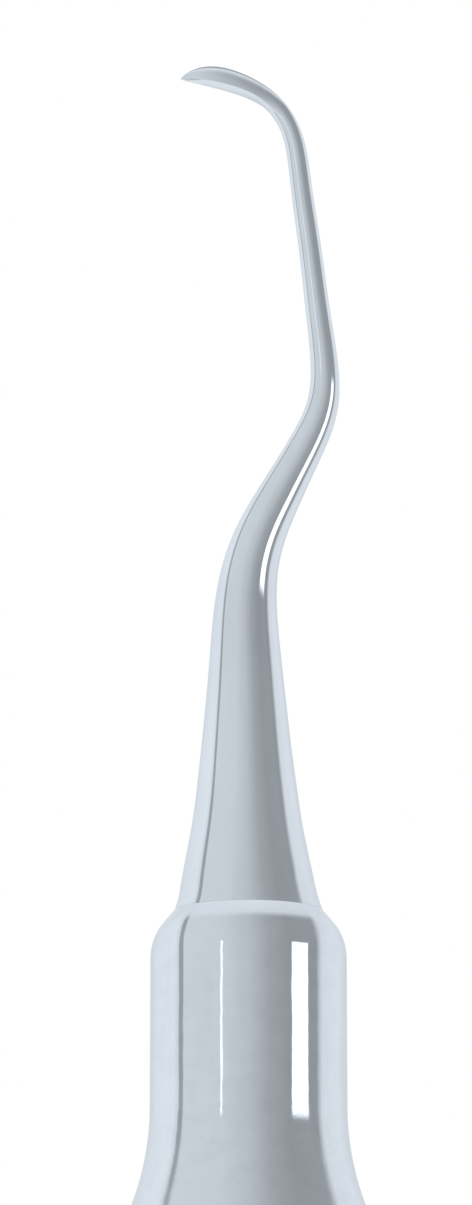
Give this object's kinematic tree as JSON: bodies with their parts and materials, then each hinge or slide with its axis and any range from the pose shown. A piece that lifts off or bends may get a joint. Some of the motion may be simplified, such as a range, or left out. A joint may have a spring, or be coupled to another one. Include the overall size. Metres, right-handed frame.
{
  "type": "double-ended hand scaler",
  "caption": "Hand scaler with a hollow round handle and a hooked, pointed sickle blade on a bent shank at each end, the two ends a mirror-image pair.",
  "frame": {"origin": "the middle of the handle, on its axis", "axes": "+Z along the handle's axis towards the front working end; the front blade's hook bends towards -X, in the XZ plane; +Y completes the frame. The rear end is the front end inverted through the origin."},
  "size_m": [0.01, 0.01, 0.175],
  "materials": {
    "polished_steel": "mirror-polished stainless steel, not plated",
    "satin_steel": "fine satin stainless steel; the neck of each nose collar is mirror polished",
    "bond": "cured structural adhesive"
  },
  "bodies": {
    "root": {"front_working_end": "polished_steel", "front_nose_collar": "satin_steel", "front_tang_bond": "bond", "handle_tube": "satin_steel", "rear_working_end": "polished_steel", "rear_nose_collar": "satin_steel", "rear_tang_bond": "bond"}
  },
  "joints": []
}
